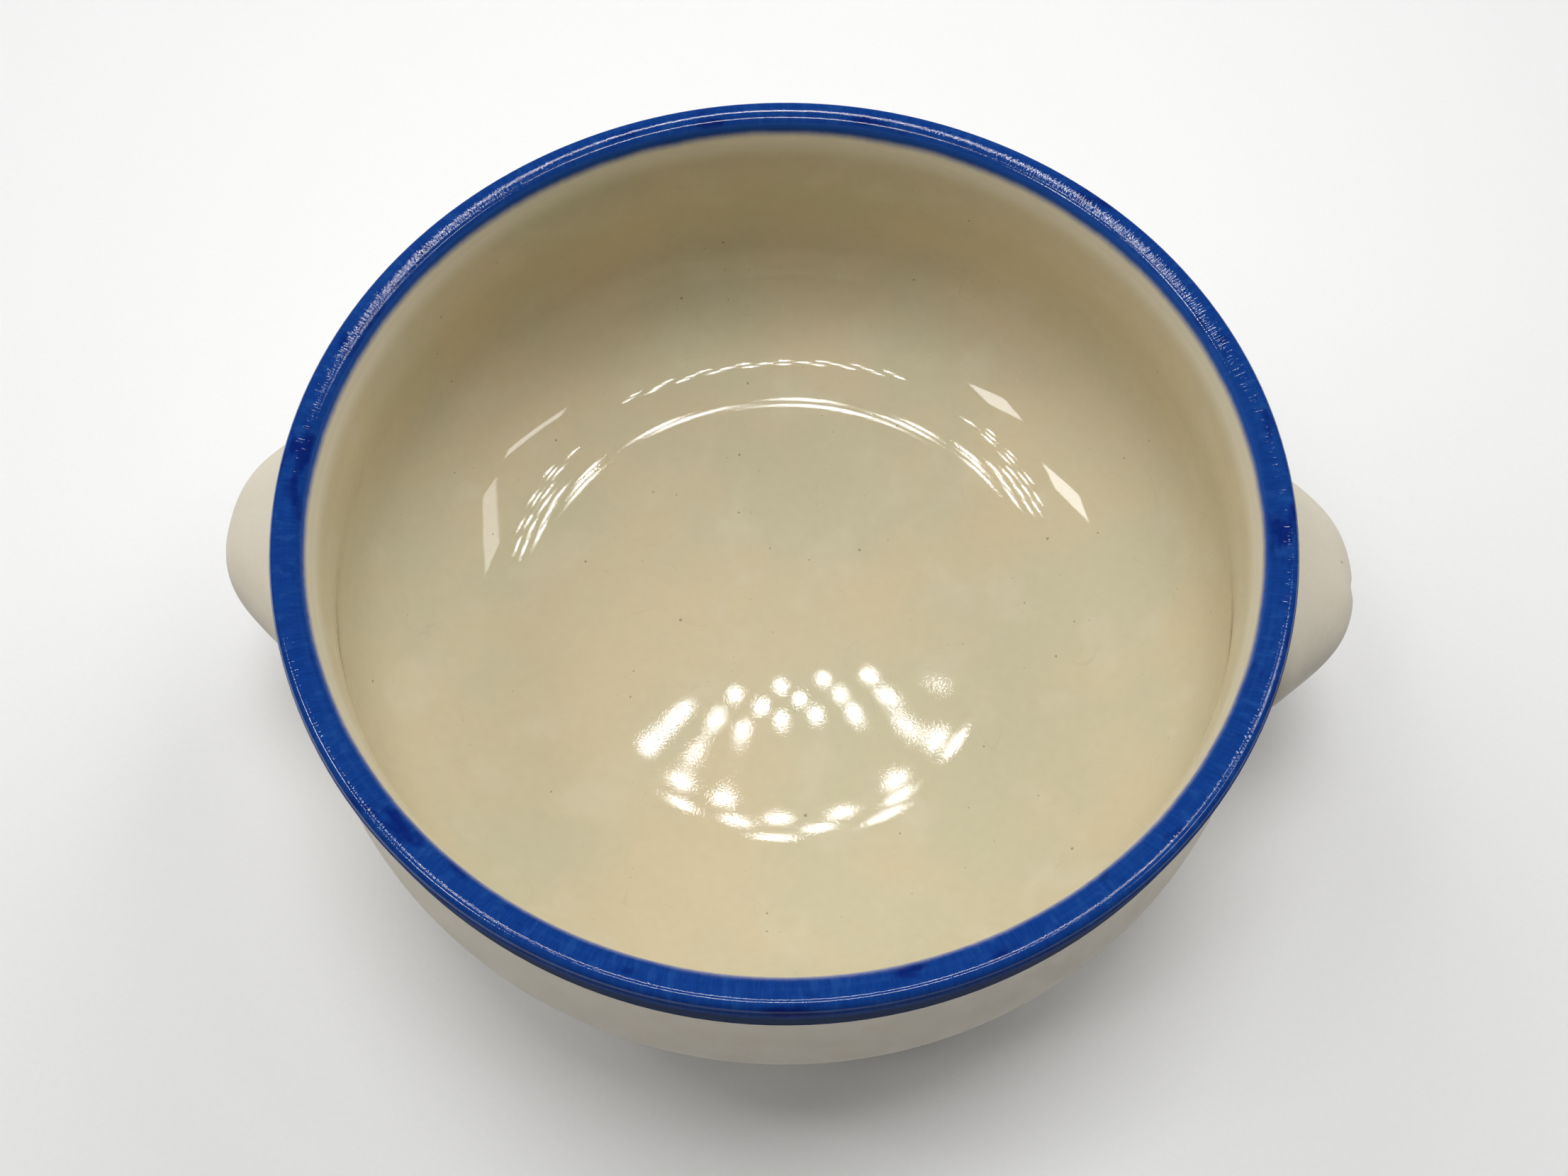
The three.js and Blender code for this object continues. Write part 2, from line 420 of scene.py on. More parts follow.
CREAM_WARM = (0.655, 0.556, 0.366)
CREAM_GREY = (0.592, 0.550, 0.376)
CREAM_PALE = (0.672, 0.614, 0.446)
# Pale cream painted as light at the top of the inner wall
CREAM_PAINTED_LIGHT = (0.80, 0.745, 0.615)
CREAM_MOTTLE = ((0.45, 0.40, 0.30), (0.95, 0.90, 0.75))
CREAM_MARK = (0.36, 0.33, 0.27)
CREAM_PIT = (0.16, 0.14, 0.10)
CREAM_DUST = (0.24, 0.21, 0.15)

# Heights between which painted light pales the cream towards the band, and its waves grow up the
# wall
PAINTED_LIGHT_HEIGHTS = (HEIGHT - 8.5, HEIGHT - 4.5)
WAVE_HEIGHTS = (13.0, 24.0)


def cream_colour(n):
    """Cream glaze: broad clouds, mottling, faint spoon marks, pits, dust and a pale top strip of
    painted light.
    """
    clouds = n.noise(size=26.0, detail=3.0)
    colour = n.mix(n.ease(clouds, 0.35, 0.68), CREAM_WARM, CREAM_GREY)
    patches = n.ease(n.noise(size=11.0, detail=2.0, offset=40.0), 0.52, 0.72, 0.0, 0.55)
    colour = n.mix(patches, colour, CREAM_PALE)
    colour = n.mix(0.10, colour, n.mix(n.noise(size=1.6, detail=3.0), *CREAM_MOTTLE))
    wave = n.noise(size=17.0, detail=1.0, offset=90.0)
    line = n.math("ABSOLUTE", n.math("SUBTRACT", wave, 0.5))
    worn = n.ease(n.noise(size=6.0, detail=2.0, offset=15.0), 0.52, 0.66)
    marks = n.times(n.ease(line, 0.0012, 0.004, 0.13, 0.0), worn)
    colour = n.mix(marks, colour, CREAM_MARK)
    pits = n.specks(size=0.36, spread=3.8, chance=0.50)
    colour = n.mix(n.times(pits, 0.6), colour, CREAM_PIT)
    dust = n.specks(size=0.22, spread=2.2, chance=0.35, offset=33.0)
    colour = n.mix(n.times(dust, 0.35), colour, CREAM_DUST)
    # The pale strip at the top of the wall is painted light, where the wall under the band catches
    # the light.
    return n.mix(n.ease(n.z, *PAINTED_LIGHT_HEIGHTS, 0.0, 0.8), colour, CREAM_PAINTED_LIGHT)


def cream_normal(n):
    height = n.times(n.noise(size=14.0, detail=1.0), n.ease(n.z, *WAVE_HEIGHTS, 1.0, 2.0))
    waves = n.bump(height, depth=0.012)
    ripple = n.noise(size=0.38, detail=2.0, roughness=0.6)
    return n.bump(ripple, depth=0.0017, before=waves)


def cream_roughness(n):
    return n.ease(n.noise(size=5.0, detail=3.0, offset=7.0), 0.3, 0.7, 0.008, 0.022)


def make_cream():
    n = Nodes("cream_glaze")
    return n.finish(cream_colour(n), cream_roughness(n), cream_normal(n))


COBALT = (0.006, 0.046, 0.245)
COBALT_DEEP = (0.003, 0.033, 0.192)
COBALT_THIN = (0.014, 0.073, 0.280)
COBALT_POOL = (0.0012, 0.007, 0.12)
COBALT_HAZE = (0.62, 0.62, 0.70)
# Lighter blue painted as light on the steep inner face of the lip
COBALT_PAINTED_LIGHT = (0.014, 0.080, 0.37)
# Pooled cobalt, darkened further as painted shade under the lip
COBALT_COLLAR_POOL_AND_SHADE = (0.006, 0.026, 0.088)

# Heights between which the colour or the gloss of the band changes
# Heights of the pooled cobalt and painted shade down the collar
COLLAR_POOL_AND_SHADE_HEIGHTS = (HEIGHT - 4.4, HEIGHT - 2.6)
# Heights of the painted light on the steep inner face of the lip
INNER_PAINTED_LIGHT_HEIGHTS = (HEIGHT - 1.9, HEIGHT - 0.8)
DULL_OUTSIDE_HEIGHTS = (HEIGHT - 0.9, HEIGHT - 0.3)
DULL_INSIDE_HEIGHTS = (HEIGHT - 1.7, HEIGHT - 1.0)

# Inner edge of the band, which the brush left higher on the near side than on the far side
EDGE_HEIGHT = HEIGHT - 2.9
EDGE_LIFT = 0.75
EDGE_SLOPE = -0.0105
HAZE_HEIGHTS = (EDGE_HEIGHT - 1.3, EDGE_HEIGHT + 0.2)
EDGE_HEIGHTS = (EDGE_HEIGHT - 1.2, EDGE_HEIGHT + 0.6)


def make_cobalt():
    """Brushed cobalt over the lip: cross streaks, brush lines, pooled patches, a bled edge."""
    n = Nodes("cobalt_glaze")

    # Place on the lip: round the rim, and across it from outside to inside
    outward = n.joined(n.x, n.y, 0.0)
    inward = n.math("SUBTRACT", CREST, n.vector("LENGTH", outward))
    above = n.math("SUBTRACT", n.z, HEIGHT - LIP_DROP)
    across = n.times(n.math("ARCTAN2", inward, above), LIP_DROP)
    around = n.vector("SCALE", n.vector("NORMALIZE", outward), scale=CREST)
    level = n.vector("ADD", around, n.joined(0.0, 0.0, across))
    outside = n.math("LESS_THAN", inward, 0.0)
    inside = n.math("SUBTRACT", 1.0, outside)

    def stretched(along, across_lip):
        return n.vector("MULTIPLY", level, (along, along, across_lip))

    # Depth of the cobalt
    cross = n.noise(size=0.34, vector=stretched(1, 0.14), detail=2.0, roughness=0.55)
    brush = n.noise(size=0.6, vector=stretched(0.03, 1), detail=2.0)
    pools = n.noise(size=7.0, vector=stretched(0.8, 2.2), detail=3.0, offset=3.0)
    dabs = n.noise(size=1.3, vector=stretched(1, 0.55), detail=2.0, offset=44.0)
    colour = n.mix(n.ease(cross, 0.2, 0.75), COBALT_DEEP, COBALT)
    colour = n.mix(n.ease(brush, 0.45, 0.8, 0.0, 0.3), colour, COBALT_THIN)
    colour = n.mix(n.ease(dabs, 0.5, 0.72, 0.0, 0.55), colour, COBALT_THIN)
    colour = n.mix(n.ease(pools, 0.56, 0.70, 0.0, 0.75), colour, COBALT_POOL)
    # Darker navy down the outer collar: pooled cobalt, and painted shade under the lip.
    collar = n.times(n.ease(n.z, *COLLAR_POOL_AND_SHADE_HEIGHTS, 0.92, 0.0), outside)
    colour = n.mix(collar, colour, COBALT_COLLAR_POOL_AND_SHADE)
    # Painted light: the steep inner face of the lip is lightened against its own shade.
    inner = n.times(n.ease(n.z, *INNER_PAINTED_LIGHT_HEIGHTS, 0.85, 0.0), inside)
    colour = n.mix(inner, colour, COBALT_PAINTED_LIGHT)

    # Inner edge, bled into the cream
    bleed = n.noise(size=1.1, vector=stretched(1, 0.3), detail=3.0, offset=21.0)
    drift = n.noise(size=9.0, vector=level, detail=1.0, offset=11.0)
    edge = n.math("ADD", n.z, n.wander(bleed, 0.28))
    edge = n.math("ADD", edge, n.wander(drift, 0.5))
    edge = n.math("SUBTRACT", edge, n.math("MULTIPLY_ADD", n.y, EDGE_SLOPE, EDGE_LIFT))
    haze = n.mix(n.ease(edge, *HAZE_HEIGHTS, 0.0, 0.55), cream_colour(n), COBALT_HAZE)
    covered = n.math("MAXIMUM", n.ease(edge, *EDGE_HEIGHTS), outside)
    colour = n.mix(covered, haze, colour)

    # Relief and gloss
    ridges = n.bump(n.times(cross, covered), depth=0.022, before=cream_normal(n))
    lines = n.bump(n.times(brush, covered), depth=0.0015, before=ridges)
    shine = n.ease(n.noise(size=3.0, detail=3.0, offset=5.0), 0.3, 0.7, 0.0, 0.012)
    shine = n.math("ADD", n.times(shine, covered), cream_roughness(n))
    dull_outside = n.times(n.ease(n.z, *DULL_OUTSIDE_HEIGHTS, 1.0, 0.0), outside)
    dull_inside = n.times(n.ease(n.z, *DULL_INSIDE_HEIGHTS, 0.95, 0.0), covered)
    dull = n.math("MAXIMUM", dull_outside, dull_inside)
    roughness = n.math("MAXIMUM", shine, n.times(dull, 0.6))
    n.put(n.shader.inputs["Specular IOR Level"], n.math("MULTIPLY_ADD", dull, -0.98, 1.0))
    return n.finish(colour, roughness, lines)


SATIN_WARM = (0.735, 0.655, 0.515)
SATIN_COOL = (0.720, 0.665, 0.535)
# Darker satin painted as shade lower down
SATIN_PAINTED_SHADE = (0.36, 0.315, 0.245)
SATIN_GRAIN = ((0.45, 0.40, 0.35), (0.98, 0.95, 0.88))
SATIN_IRON = (0.18, 0.15, 0.12)
SATIN_LINE = (0.56, 0.50, 0.42)
# Heights over which painted shade darkens the satin lower down
PAINTED_SHADE_HEIGHTS = (LUG_MIDDLE - 3.0, LUG_MIDDLE + 9.0)


def make_satin(name, iron_spread, painted_shade):
    """Satin outside glaze: clouds, grain, iron specks, turning lines, and painted shade lower
    down.
    """
    n = Nodes(name)
    clouds = n.noise(size=18.0, detail=3.0, offset=60.0)
    colour = n.mix(n.ease(clouds, 0.32, 0.68), SATIN_WARM, SATIN_COOL)
    colour = n.mix(0.10, colour, n.mix(n.noise(size=0.9, detail=3.0), *SATIN_GRAIN))
    iron = n.specks(size=0.40, spread=iron_spread, chance=0.40, offset=12.0)
    colour = n.mix(n.times(iron, 0.55), colour, SATIN_IRON)
    level = n.vector("MULTIPLY", n.place, (0.04, 0.04, 1))
    rings = n.noise(size=1.4, vector=level, detail=2.0, offset=9.0)
    colour = n.mix(n.ease(rings, 0.55, 0.8, 0.0, 0.12), colour, SATIN_LINE)
    # Painted shade: the satin darkens below the middle of the ears, most strongly on the ears
    # themselves.
    drift = n.math("MULTIPLY_ADD", n.noise(size=7.0, detail=2.0, offset=31.0), 3.0, -1.5)
    painted_shade_share = n.ease(n.math("ADD", n.z, drift), *PAINTED_SHADE_HEIGHTS, painted_shade, 0.0)
    colour = n.mix(painted_shade_share, colour, SATIN_PAINTED_SHADE)
    waves = n.bump(n.noise(size=9.0, detail=1.0, offset=70.0), depth=0.18)
    turning = n.bump(rings, depth=0.035, before=waves)
    tooth = n.noise(size=0.45, detail=3.0, roughness=0.6)
    fine = n.bump(tooth, depth=0.02, before=turning)
    roughness = n.ease(n.noise(size=4.0, detail=3.0, offset=25.0), 0.3, 0.7, 0.38, 0.52)
    return n.finish(colour, roughness, fine)


BARE_CLOUDS = ((0.50, 0.38, 0.25), (0.62, 0.50, 0.36))
BARE_SAND = (0.72, 0.62, 0.48)
BARE_IRON = (0.16, 0.09, 0.05)


def make_bare():
    """Unglazed fired clay of the foot: clouds, sandy grain and iron specks."""
    n = Nodes("bare_clay")
    clouds = n.noise(size=8.0, detail=3.0)
    grain = n.noise(size=0.35, detail=3.0, roughness=0.7)
    colour = n.mix(clouds, *BARE_CLOUDS)
    colour = n.mix(n.ease(grain, 0.45, 0.75, 0.0, 0.5), colour, BARE_SAND)
    iron = n.specks(size=0.5, spread=2.2, chance=0.35)
    colour = n.mix(n.times(iron, 0.6), colour, BARE_IRON)
    roughness = n.ease(clouds, 0.3, 0.7, 0.82, 0.95)
    return n.finish(colour, roughness, n.bump(grain, depth=0.08))


PAPER = ((0.88, 0.88, 0.875), (0.92, 0.92, 0.915))


def make_paper():
    """Pale matt backdrop with a faint tooth."""
    n = Nodes("floor_paper")
    tooth = n.noise(size=0.8, detail=3.0)
    return n.finish(n.mix(tooth, *PAPER), 0.85, n.bump(tooth, depth=0.01))


cream_glaze = make_cream()
cobalt_glaze = make_cobalt()
# The last argument sets how strong the painted shade lower down is.
satin_clay = make_satin("satin_clay", iron_spread=5.0, painted_shade=0.25)
ear_satin = make_satin("ear_satin", iron_spread=3.4, painted_shade=0.7)
bare_clay = make_bare()


# Turned pieces

def add_body():
    """The thrown wall and floor. The stretch under the coats is hidden, so it is thinned."""
    radius = np.linspace(0, BASE_RADIUS, UNDER_RINGS + 1)[:-1]
    under = np.stack([radius, np.full(UNDER_RINGS, FOOT_HEIGHT)], 1)
    hidden = BAND_START + COAT_OVERLAP
    profile = np.concatenate([under, CLAY[:hidden], thinned(CLAY[hidden:])])
    body = turned("bowl_clay", profile, satin_clay)
    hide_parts("bowl_body")


def add_liner():
    """The cream coat of the inside, from the seam under the lip to the middle of the floor."""
    back = thinned(BACK[BAND_END:])[::-1]
    profile = np.concatenate([back, COAT[BAND_END:]])
    seam = len(back)
    liner = turned("cream_liner", profile, cream_glaze, creases=(seam - 1, seam))
    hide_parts("liner_glaze")


def add_band():
    """The cobalt coat over the collar and the lip."""
    stretch = slice(BAND_START, BAND_END + 1)
    back, face = BACK[stretch][::-1], COAT[stretch]
    seam, last = len(back), len(back) + len(face) - 1
    band = turned("cobalt_rim", np.concatenate([back, face]), cobalt_glaze,
                  creases=(0, seam - 1, seam, last))
    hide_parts("rim_band")


def add_foot():
    """The turned foot ring, with rounded standing edges and a slight flare."""
    inner = FOOT_RADIUS - FOOT_WIDTH
    top = FOOT_HEIGHT + FOOT_SINK
    waist = FOOT_HEIGHT * FOOT_WAIST
    waist_flare = FOOT_FLARE * FOOT_WAIST_FLARE
    edge = (FOOT_EDGE, FOOT_EDGE, FOOT_EDGE)
    profile = np.concatenate([
        arc(inner + FOOT_EDGE, *edge, 180, 270, FOOT_STEPS),
        arc(FOOT_RADIUS - FOOT_EDGE, *edge, -90, 0, FOOT_STEPS),
        [(FOOT_RADIUS + waist_flare, waist), (FOOT_RADIUS + FOOT_FLARE, top)],
        [(inner - FOOT_FLARE, top), (inner - waist_flare, waist)],
    ])
    corner = 2 * FOOT_STEPS + 1
    foot = turned("turned_foot", profile, bare_clay, creases=(corner, corner + 1))
    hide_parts("foot_ring")


add_body()
add_liner()
add_band()
add_foot()


# Ear lugs

EAR_TURNS = 160
FLANK = 44
FLANK_CROWDING = 0.9
SKIRT = 30
SKIRT_WIDTH = 6.5
SKIRT_FLAT = 1.5
SKIRT_SINK = 0.02
SKIRT_EDGE_SINK = 0.3
CORNER_ROUND = 1.5
CORNER_REACH = 4.5
CORNER_LEAST = 1e-3
SLIP_START = FLANK - 9

# Rings at the tip and at the skirt's edge that the rounding of the corner leaves alone
TIP_RINGS = 4
EDGE_RINGS = 2
NO_LENGTH = 1e-12

# Dent in the right ear's tip: depth, then place and width across and up
DENT_DEPTH = 0.5
DENT_ACROSS = (-2.8, 1.3)
DENT_UP = (2.5, 3.0)

# Back of the ear, a hair off the wall, and the hidden back of the slip
EAR_BACK_SHARES = (1.0, 0.75, 0.5, 0.25)
EAR_SEAT = 0.05
SLIP_EDGE_SINK = 0.006
SLIP_SEAT = 0.5
SLIP_LIP_SHARES = [1, 0.97, 0.95]
SLIP_LIP_SINK = 0.3

NEXT_TURN = [(i + 1) % EAR_TURNS for i in range(EAR_TURNS)]


def ear_point(alpha, turn):
    """Point of the ear's own form, by angle from its tip and turn about its axis."""
    out = np.cos(alpha)
    girth = np.maximum(0, 1 - np.abs(out) ** LUG_FULLNESS) ** (1 / LUG_FULLNESS)
    blunt = np.maximum(0, 1 - np.abs(out) ** LUG_BLUNTNESS) ** (1 / LUG_BLUNTNESS)
    across, up = np.cos(turn), np.sin(turn)
    corner = np.abs(across) ** LUG_SQUARENESS + np.abs(up) ** LUG_SQUARENESS
    square = corner ** (-1 / LUG_SQUARENESS)
    x = BELLY - LUG_SINK + out * (LUG_SINK + LUG_REACH)
    near = np.clip(1 - (x - BELLY) / ROOT_REACH, 0, 1) ** 2
    y = girth * square * across * (LUG_WIDTH / 2 + ROOT_SPREAD * near)
    z = blunt * square * up * (LUG_DEPTH / 2 + ROOT_RISE * near)
    return np.stack(np.broadcast_arrays(x, y, z + LUG_MIDDLE), -1)


def ear_root(turn):
    """Angle from the tip at which each turn of the ear meets the wall, by halving."""
    low, high = np.zeros(EAR_TURNS), np.full(EAR_TURNS, np.pi / 2)
    for _ in range(50):
        middle = (low + high) / 2
        p = ear_point(middle, turn)
        outside = np.hypot(p[..., 0], p[..., 1]) - wall_radius(p[..., 2]) > 0
        low = np.where(outside, middle, low)
        high = np.where(outside, high, middle)
    return low


def ear_skirt(root):
    """Rings that spread from the ear's root along the wall."""
    angle = np.arctan2(root[:, 1], root[:, 0])
    flat = np.stack([angle * BELLY, root[:, 2]], 1)
    along = np.roll(flat, -1, 0) - np.roll(flat, 1, 0)
    along /= np.linalg.norm(along, axis=1)[:, None]
    outward = np.stack([along[:, 1], -along[:, 0]], 1)
    rings = []
    for distance in np.linspace(0, SKIRT_WIDTH, SKIRT)[1:]:
        spot = flat + outward * distance
        turn, z = spot[:, 0] / BELLY, spot[:, 1]
        radius = wall_radius(z)
        rings.append(np.stack([radius * np.cos(turn), radius * np.sin(turn), z], -1))
    return np.stack(rings)


def ear_grid():
    """Rings from the ear's tip down its flank and out along the wall, with a rounded corner."""
    turn = np.linspace(0, 2 * np.pi, EAR_TURNS, endpoint=False)
    root = ear_root(turn)
    shares = np.linspace(0, 1, FLANK) ** FLANK_CROWDING
    flank = np.stack([ear_point(root * share, turn) for share in shares])
    grid = np.concatenate([flank, ear_skirt(flank[-1])])
    step = np.linalg.norm(np.diff(grid, axis=0), axis=2)
    place = np.concatenate([np.zeros((1, EAR_TURNS)), np.cumsum(step, 0)])
    corner = place[FLANK - 1]
    width = np.gradient(place, axis=0)
    smooth = grid.copy()
    for i in range(TIP_RINGS, len(grid) - EDGE_RINGS):
        sigma = CORNER_ROUND * np.exp(-((place[i] - corner) / CORNER_REACH) ** 2) + CORNER_LEAST
        weight = np.exp(-0.5 * ((place - place[i]) / sigma) ** 2) * width
        smooth[i] = (weight[..., None] * grid).sum(0) / weight.sum(0)[:, None]
    spread = smoothstep(SKIRT_FLAT, SKIRT_WIDTH, np.maximum(place - corner, 0))
    sink = SKIRT_SINK + SKIRT_EDGE_SINK * spread
    sink[:FLANK] = 0
    radius = np.hypot(smooth[..., 0], smooth[..., 1])
    smooth[..., 0] *= (radius - sink) / radius
    smooth[..., 1] *= (radius - sink) / radius
    return smooth


def dented(grid):
    """The ear with the small dent that the right one has in its tip."""
    (y, width), (z, depth) = DENT_ACROSS, DENT_UP
    across = ((grid[..., 1] - y) / width) ** 2
    up = ((grid[..., 2] - LUG_MIDDLE - z) / depth) ** 2
    grid[..., 0] -= DENT_DEPTH * np.exp(-across - up)
    return grid


def grid_normals(grid, sign):
    across = np.roll(grid, -1, 1) - np.roll(grid, 1, 1)
    normal = np.cross(np.gradient(grid, axis=0), across)
    normal /= np.linalg.norm(normal, axis=2)[..., None] + NO_LENGTH
    normal[0] = (sign, 0, 0)
    return normal


def ring_faces(pairs, first):
    """Faces between pairs of neighbouring rings, from the point where the first ring starts."""
    faces = []
    for k in range(pairs):
        a, b = first + k * EAR_TURNS, first + (k + 1) * EAR_TURNS
        faces += [[a + i, b + i, b + j, a + j] for i, j in enumerate(NEXT_TURN)]
    return faces


def set_normals(piece, shown, count):
    """Gives a piece's first faces the normals of the whole form, so that pieces shade as one."""
    mesh = piece.data
    values = []
    for polygon in mesh.polygons:
        for v in polygon.vertices:
            values.append(tuple(shown[v]) if polygon.index < count else tuple(polygon.normal))
    mesh.normals_split_custom_set(values)


def add_ear(side, sign, grid, normal):
    """The ear: its tip, its flank and a back that follows the wall."""
    front = grid[1:SLIP_START + 1]
    edge = front[-1]
    back = []
    for share in EAR_BACK_SHARES:
        y = edge[:, 1] * share
        z = LUG_MIDDLE + (edge[:, 2] - LUG_MIDDLE) * share
        radius = wall_radius(z) + EAR_SEAT
        back.append(np.stack([np.sqrt(np.maximum(radius ** 2 - y ** 2, 0)) * sign, y, z], 1))
    middle = [((wall_radius(LUG_MIDDLE) + EAR_SEAT) * sign, 0, LUG_MIDDLE)]
    points = np.concatenate([grid[0, :1], front.reshape(-1, 3), *back, middle])
    rings = len(front) + len(back)
    last, centre = 1 + (rings - 1) * EAR_TURNS, len(points) - 1
    faces = [[0, 1 + i, 1 + j] for i, j in enumerate(NEXT_TURN)]
    faces += ring_faces(rings - 1, 1)
    faces += [[last + i, centre, last + j] for i, j in enumerate(NEXT_TURN)]
    ear = add_mesh(f"{side}_ear", points, faces, ear_satin)
    shown = np.concatenate([normal[0, :1], normal[1:SLIP_START + 1].reshape(-1, 3)])
    set_normals(ear, shown, EAR_TURNS * len(front))
    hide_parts(f"{side}_lug")


def add_slip(side, sign, grid, normal):
    """The slip: the rounded corner round the ear's root, closed behind."""
    front = grid[SLIP_START:]
    root = grid[FLANK - 1]
    deep = front[-1] * [1 - SLIP_EDGE_SINK, 1 - SLIP_EDGE_SINK, 1]
    seat = root.copy()
    seat_radius = wall_radius(root[:, 2]) - SLIP_SEAT
    seat[:, :2] *= seat_radius[:, None] / np.hypot(root[:, 0], root[:, 1])[:, None]
    centre = np.array([0, 0, LUG_MIDDLE])
    lip = (front[0] - centre) * SLIP_LIP_SHARES + centre
    lip[:, 0] -= SLIP_LIP_SINK * sign
    rings = [*front, deep, seat, lip]
    last = (len(rings) - 1) * EAR_TURNS
    faces = ring_faces(len(rings) - 1, 0)
    faces += [[last + i, i, j, last + j] for i, j in enumerate(NEXT_TURN)]
    slip = add_mesh(f"{side}_slip", np.concatenate(rings), faces, ear_satin)
    set_normals(slip, normal[SLIP_START:].reshape(-1, 3), EAR_TURNS * (len(front) - 1))
    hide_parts(f"{side}_lug_slip")


# The left lug is the right one turned half round the axis, without the dent.
for side, sign, grid in (("right", 1, dented(ear_grid())), ("left", -1, ear_grid() * [-1, -1, 1])):
    normal = grid_normals(grid, sign)
    add_ear(side, sign, grid, normal)
    add_slip(side, sign, grid, normal)


# Stage, with lengths in metres

FLOOR_HALF = 3.0


def stage_floor():
    mesh = bpy.data.meshes.new("floor")
    signs = ((-1, -1), (1, -1), (1, 1), (-1, 1))
    mesh.from_pydata([(x * FLOOR_HALF, y * FLOOR_HALF, 0) for x, y in signs], [], [[0, 1, 2, 3]])
    mesh.materials.append(make_paper())
    floor = bpy.data.objects.new("floor", mesh)
    bpy.context.scene.collection.objects.link(floor)


stage_floor()


# Light: rows of small lamps on a rounded oblong over the bowl, soft fill, and narrow panels

RING_CENTRE = (-0.0072, 0.0857, 0.5135)
RING_ACROSS = 0.121
RING_ALONG = 0.0775
RING_TURN = 0.226
RING_SQUARENESS = 3.9
RING_ROWS = (0.88, 1.0, 1.12)
RING_LAMPS = 30
RING_POWER = 0.40
LAMP_POWER = RING_POWER / (len(RING_ROWS) * RING_LAMPS)
LAMP_SIZE = 0.008
GAP_NEAR = -0.1
GAP_SIDE = 0.66

# Soft lights, which no glaze mirrors: name, place, size and power
SOFT_AIM = (0, 0, 0.03)
SOFT_LIGHTS = (
    ("soft_left", (-0.9, 0.1, 0.9), 1.0, 3.4),
    ("soft_back_left", (-0.8, 0.8, 0.8), 0.9, 4.1),
    ("soft_back_right", (0.8, 0.8, 0.8), 0.9, 6.9),
    ("soft_front", (0.0, -1.0, 1.0), 1.0, 1.2),
)
OVER_SIZE = 0.2
OVER_POWER = 0.95

# Panels a metre away: name, turn and rise of both ends in degrees, width and power
PANELS = (
    ("panel_right", (-9, 61), (2, 50), 0.04, 0.18),
    ("panel_right_back", (12, 51), (44, 62), 0.06, 0.32),
    ("panel_left", (-158, 64), (-163, 57), 0.10, 0.36),
    ("panel_left_back", (167, 63), (166, 54), 0.08, 0.40),
)
WORLD_STRENGTH = 0.02


def area_light(name, place, aim, size, power, mirrored=True):
    data = bpy.data.lights.new(name, "AREA")
    data.shape = "DISK"
    data.size = size
    data.energy = power
    light = bpy.data.objects.new(name, data)
    light.location = place
    direction = np.array(aim, float) - np.array(place, float)
    yaw = math.atan2(direction[1], direction[0])
    pitch = math.acos(-direction[2] / np.linalg.norm(direction))
    light.rotation_euler = (pitch, 0, yaw - math.pi / 2)
    light.visible_camera = False
    light.visible_glossy = mirrored
    bpy.context.scene.collection.objects.link(light)


def ring_place(share, grow):
    """Place on the lamp's rounded oblong, by share of a turn and size."""
    angle = 2 * math.pi * share
    across, along = math.cos(angle), math.sin(angle)
    corner = abs(across) ** RING_SQUARENESS + abs(along) ** RING_SQUARENESS
    reach = grow * corner ** (-1 / RING_SQUARENESS)
    x, y = RING_ACROSS * reach * across, RING_ALONG * reach * along
    c, s = math.cos(RING_TURN), math.sin(RING_TURN)
    return (RING_CENTRE[0] + c * x - s * y, RING_CENTRE[1] + s * x + c * y, RING_CENTRE[2])


def even_shares(count, shift):
    """Shares of a turn that lie evenly along the oblong."""
    fine = np.linspace(0, 1, 2001)
    path = np.array([ring_place(f, 1.0) for f in fine])
    length = np.r_[0, np.cumsum(np.linalg.norm(np.diff(path, axis=0), axis=1))]
    return np.interp((np.arange(count) + shift) / count * length[-1], length, fine)


def ring_lamps():
    """Three rows of lamps, every other one shifted by half a step. The near corners have none."""
    for row, grow in enumerate(RING_ROWS):
        for k, share in enumerate(even_shares(RING_LAMPS, 0.5 * row)):
            angle = 2 * math.pi * share
            if math.sin(angle) < GAP_NEAR and abs(math.cos(angle)) > GAP_SIDE:
                continue
            place = ring_place(share, grow)
            area_light(f"lamp_{row}_{k}", place, (*place[:2], 0), LAMP_SIZE, LAMP_POWER)


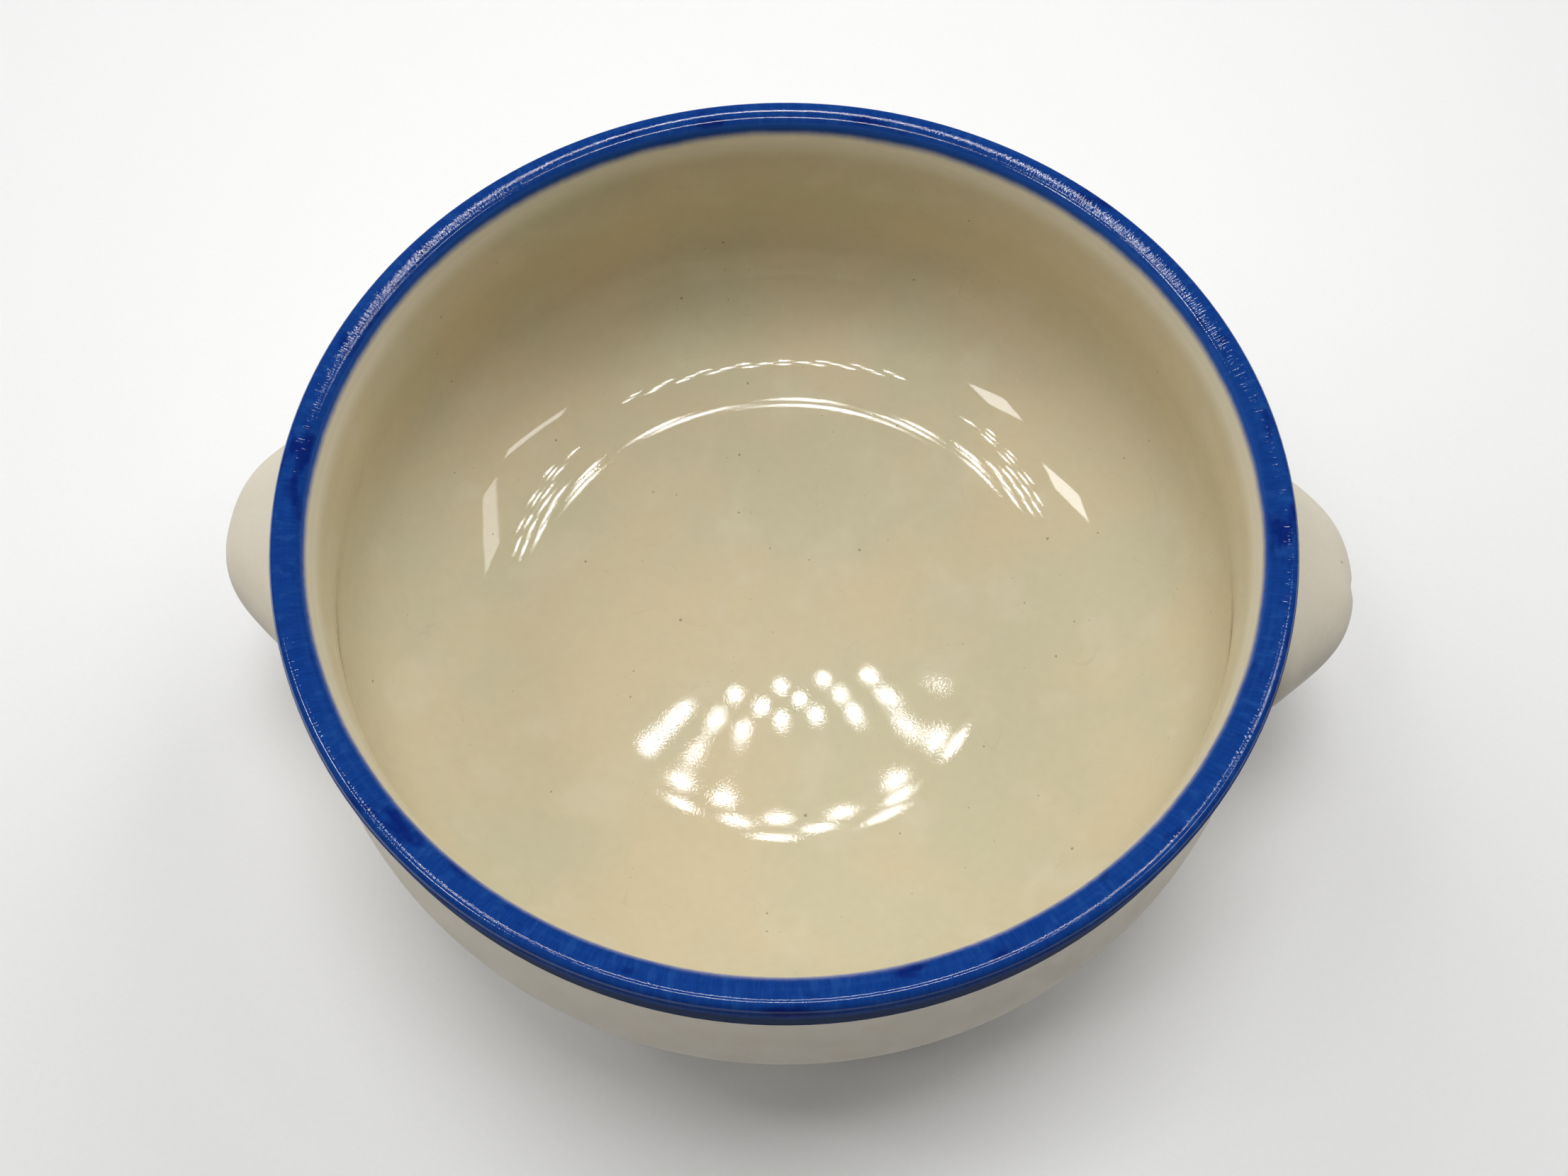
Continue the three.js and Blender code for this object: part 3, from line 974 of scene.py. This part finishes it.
def panel_light(name, start, end, width, power):
    """A narrow panel that faces the bowl, between two directions."""
    ends = []
    for turn, rise in (start, end):
        t, r = math.radians(turn), math.radians(rise)
        ends.append(Vector((math.cos(r) * math.cos(t), math.cos(r) * math.sin(t), math.sin(r))))
    data = bpy.data.lights.new(name, "AREA")
    data.shape = "RECTANGLE"
    data.size = (ends[1] - ends[0]).length
    data.size_y = width
    data.energy = power
    middle = (ends[0] + ends[1]) / 2
    back = middle.normalized()
    along = (ends[1] - ends[0]).normalized()
    along = (along - back * along.dot(back)).normalized()
    facing = Matrix((along, back.cross(along), back)).transposed()
    light = bpy.data.objects.new(name, data)
    light.matrix_world = Matrix.Translation(middle) @ facing.to_4x4()
    light.visible_camera = False
    bpy.context.scene.collection.objects.link(light)


ring_lamps()
area_light("soft_over", RING_CENTRE, (*RING_CENTRE[:2], 0), OVER_SIZE, OVER_POWER, mirrored=False)
for name, place, size, power in SOFT_LIGHTS:
    area_light(name, place, SOFT_AIM, size, power, mirrored=False)
for panel in PANELS:
    panel_light(*panel)

world = bpy.data.worlds.new("studio")
world.use_nodes = True
background = world.node_tree.nodes["Background"]
background.inputs["Color"].default_value = (1, 1, 1, 1)
background.inputs["Strength"].default_value = WORLD_STRENGTH
bpy.context.scene.world = world


# Camera, fitted to the rim and the lugs in the photograph. Its place is from the middle of the
# plane of the rim's outer edge, in metres, and its turns are in degrees.

PHOTO_WIDTH = 2212
FOCAL_PIXELS = 1661
SENSOR_WIDTH = 36
RIM_PLANE = (HEIGHT - 1.53) * MM
CAMERA_PLACE = (0.0051277, -0.0815028, 0.1411501)
CAMERA_TURNS = (24.753318, 0.248061, 3.135488)

camera_data = bpy.data.cameras.new("camera")
camera_data.sensor_width = SENSOR_WIDTH
camera_data.lens = SENSOR_WIDTH * FOCAL_PIXELS / PHOTO_WIDTH
camera_data.clip_start = 0.01
camera = bpy.data.objects.new("camera", camera_data)
camera.location = (*CAMERA_PLACE[:2], RIM_PLANE + CAMERA_PLACE[2])
camera.rotation_euler = [math.radians(turn) for turn in CAMERA_TURNS]
bpy.context.scene.collection.objects.link(camera)
bpy.context.scene.camera = camera

bpy.context.scene.view_settings.view_transform = "Standard"
